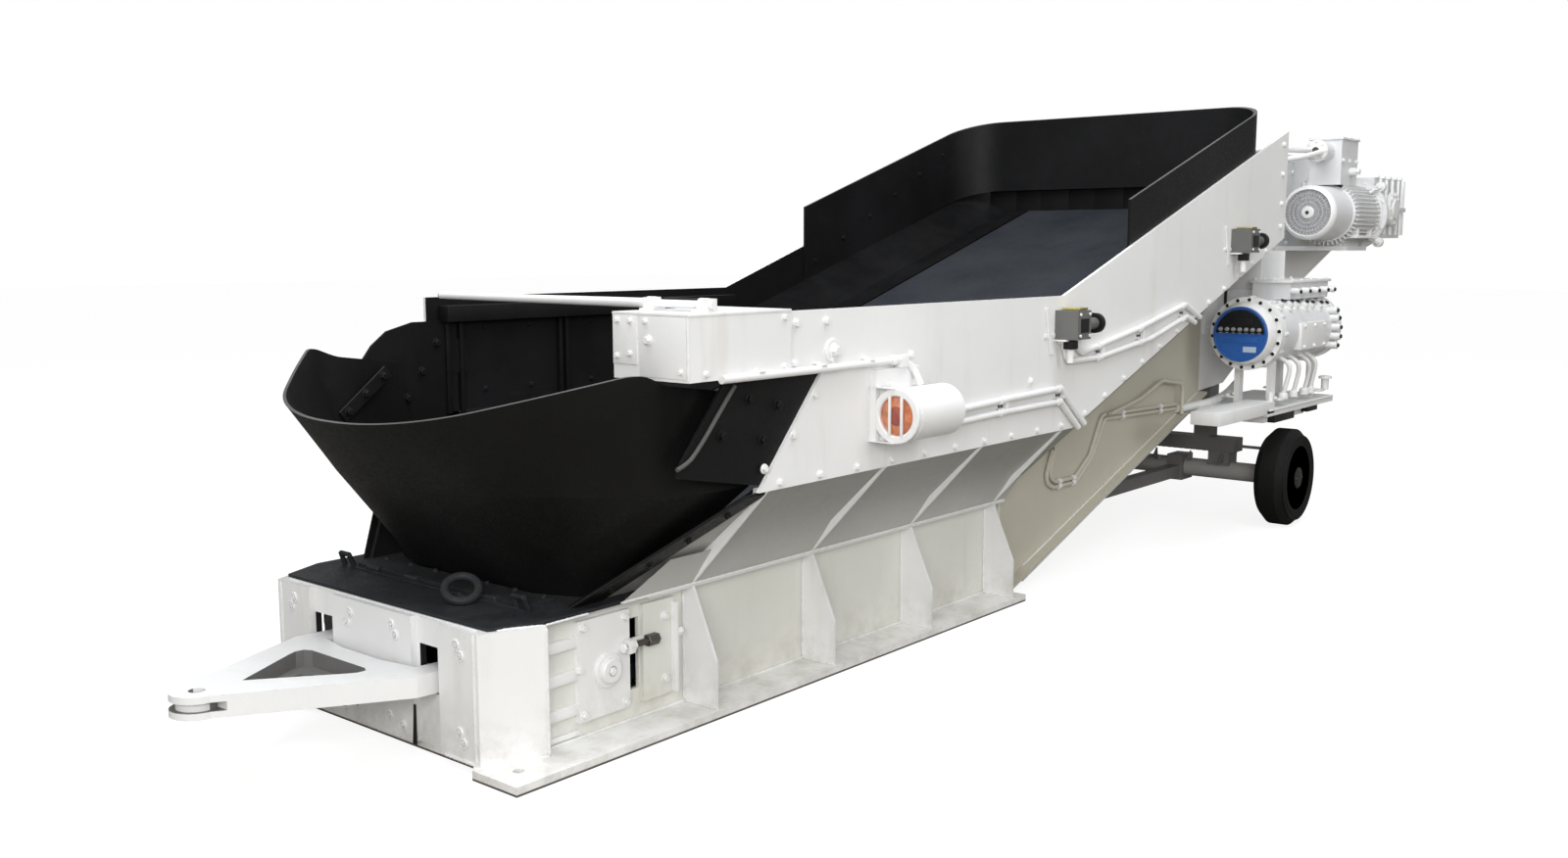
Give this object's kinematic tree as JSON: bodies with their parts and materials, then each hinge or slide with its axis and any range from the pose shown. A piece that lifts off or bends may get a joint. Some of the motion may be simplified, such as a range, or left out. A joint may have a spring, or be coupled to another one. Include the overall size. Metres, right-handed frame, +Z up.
{
  "type": "mobile transfer conveyor",
  "caption": "Low towed transfer conveyor: flared receiving hopper on a skid, covered inclined belt between high side plates, wheeled rear end with drive and starter.",
  "frame": {"origin": "on the ground, below the middle of the skid and on the machine's middle plane", "axes": "+X towards the drawbar, +Y to the machine's left, +Z up"},
  "size_m": [8.9387, 2.532, 2.629],
  "materials": {
    "white_paint": "semi-gloss white paint",
    "black_paint": "satin black paint",
    "deck_grey_paint": "dark blue-grey paint",
    "chassis_grey_paint": "mid-grey paint",
    "blue_paint": "gloss blue paint",
    "black_rubber": "matte black conveyor rubber",
    "solid_tyre": "matte black solid tyre",
    "worn_steel": "plain steel",
    "lamp_glass": "clear pressed glass"
  },
  "bodies": {
    "chassis": {"axle": "chassis_grey_paint", "axle_beam": "chassis_grey_paint", "axle_struts": "chassis_grey_paint", "bay_walls": "white_paint", "centre_plate": "white_paint", "conduits": "white_paint", "conveyor_belt": "black_rubber", "corner_plates": "white_paint", "cross_beams": "white_paint", "deck_hatch": "deck_grey_paint", "deck_skirts": "deck_grey_paint", "deflector": "black_rubber", "drawbar_pivots": "white_paint", "drive_bracket": "white_paint", "ear_plates": "black_paint", "feeler_rod": "white_paint", "front_apron": "black_rubber", "front_deck": "deck_grey_paint", "front_wall": "white_paint", "gearbox": "white_paint", "head_drum": "worn_steel", "head_frame_walls": "white_paint", "hopper_slope_left": "white_paint", "hopper_slope_right": "white_paint", "incline_liners": "black_paint", "incline_slopes": "white_paint", "lamp_housing": "white_paint", "lamp_lens": "lamp_glass", "lower_ribs": "white_paint", "motor": "white_paint", "motor_terminal_box": "white_paint", "side_box": "white_paint", "side_ledges": "white_paint", "side_plate_left": "white_paint", "side_plate_right": "white_paint", "skid_plate": "white_paint", "starter_body": "white_paint", "starter_cover": "blue_paint", "starter_ring": "white_paint", "starter_shelf": "white_paint", "starter_terminal_box": "white_paint", "stop_switch_front": "white_paint", "stop_switch_rear": "white_paint", "tail_drum": "worn_steel", "tension_anchors": "white_paint", "tension_slides": "white_paint", "trough_floor": "white_paint", "trough_walls": "white_paint", "upper_ribs": "white_paint", "wall_cables": "white_paint"},
    "wheel_left": {"tyre_left": "solid_tyre", "hub_left": "white_paint"},
    "wheel_right": {"tyre_right": "solid_tyre", "hub_right": "white_paint"},
    "drawbar": {"drawbar": "white_paint"}
  },
  "joints": [
    {"name": "wheel_left_spin", "type": "hinge", "parent": "chassis", "child": "wheel_left", "pos_m": [-4.425, 1.125, 0.31], "axis": [0, 1, 0], "continuous": true},
    {"name": "wheel_right_spin", "type": "hinge", "parent": "chassis", "child": "wheel_right", "pos_m": [-4.425, -1.125, 0.31], "axis": [0, 1, 0], "continuous": true},
    {"name": "drawbar_pitch", "type": "hinge", "parent": "chassis", "child": "drawbar", "pos_m": [1.305, 0, 0.273], "axis": [0, -1, 0], "range_deg": [-1.5, 9]}
  ]
}
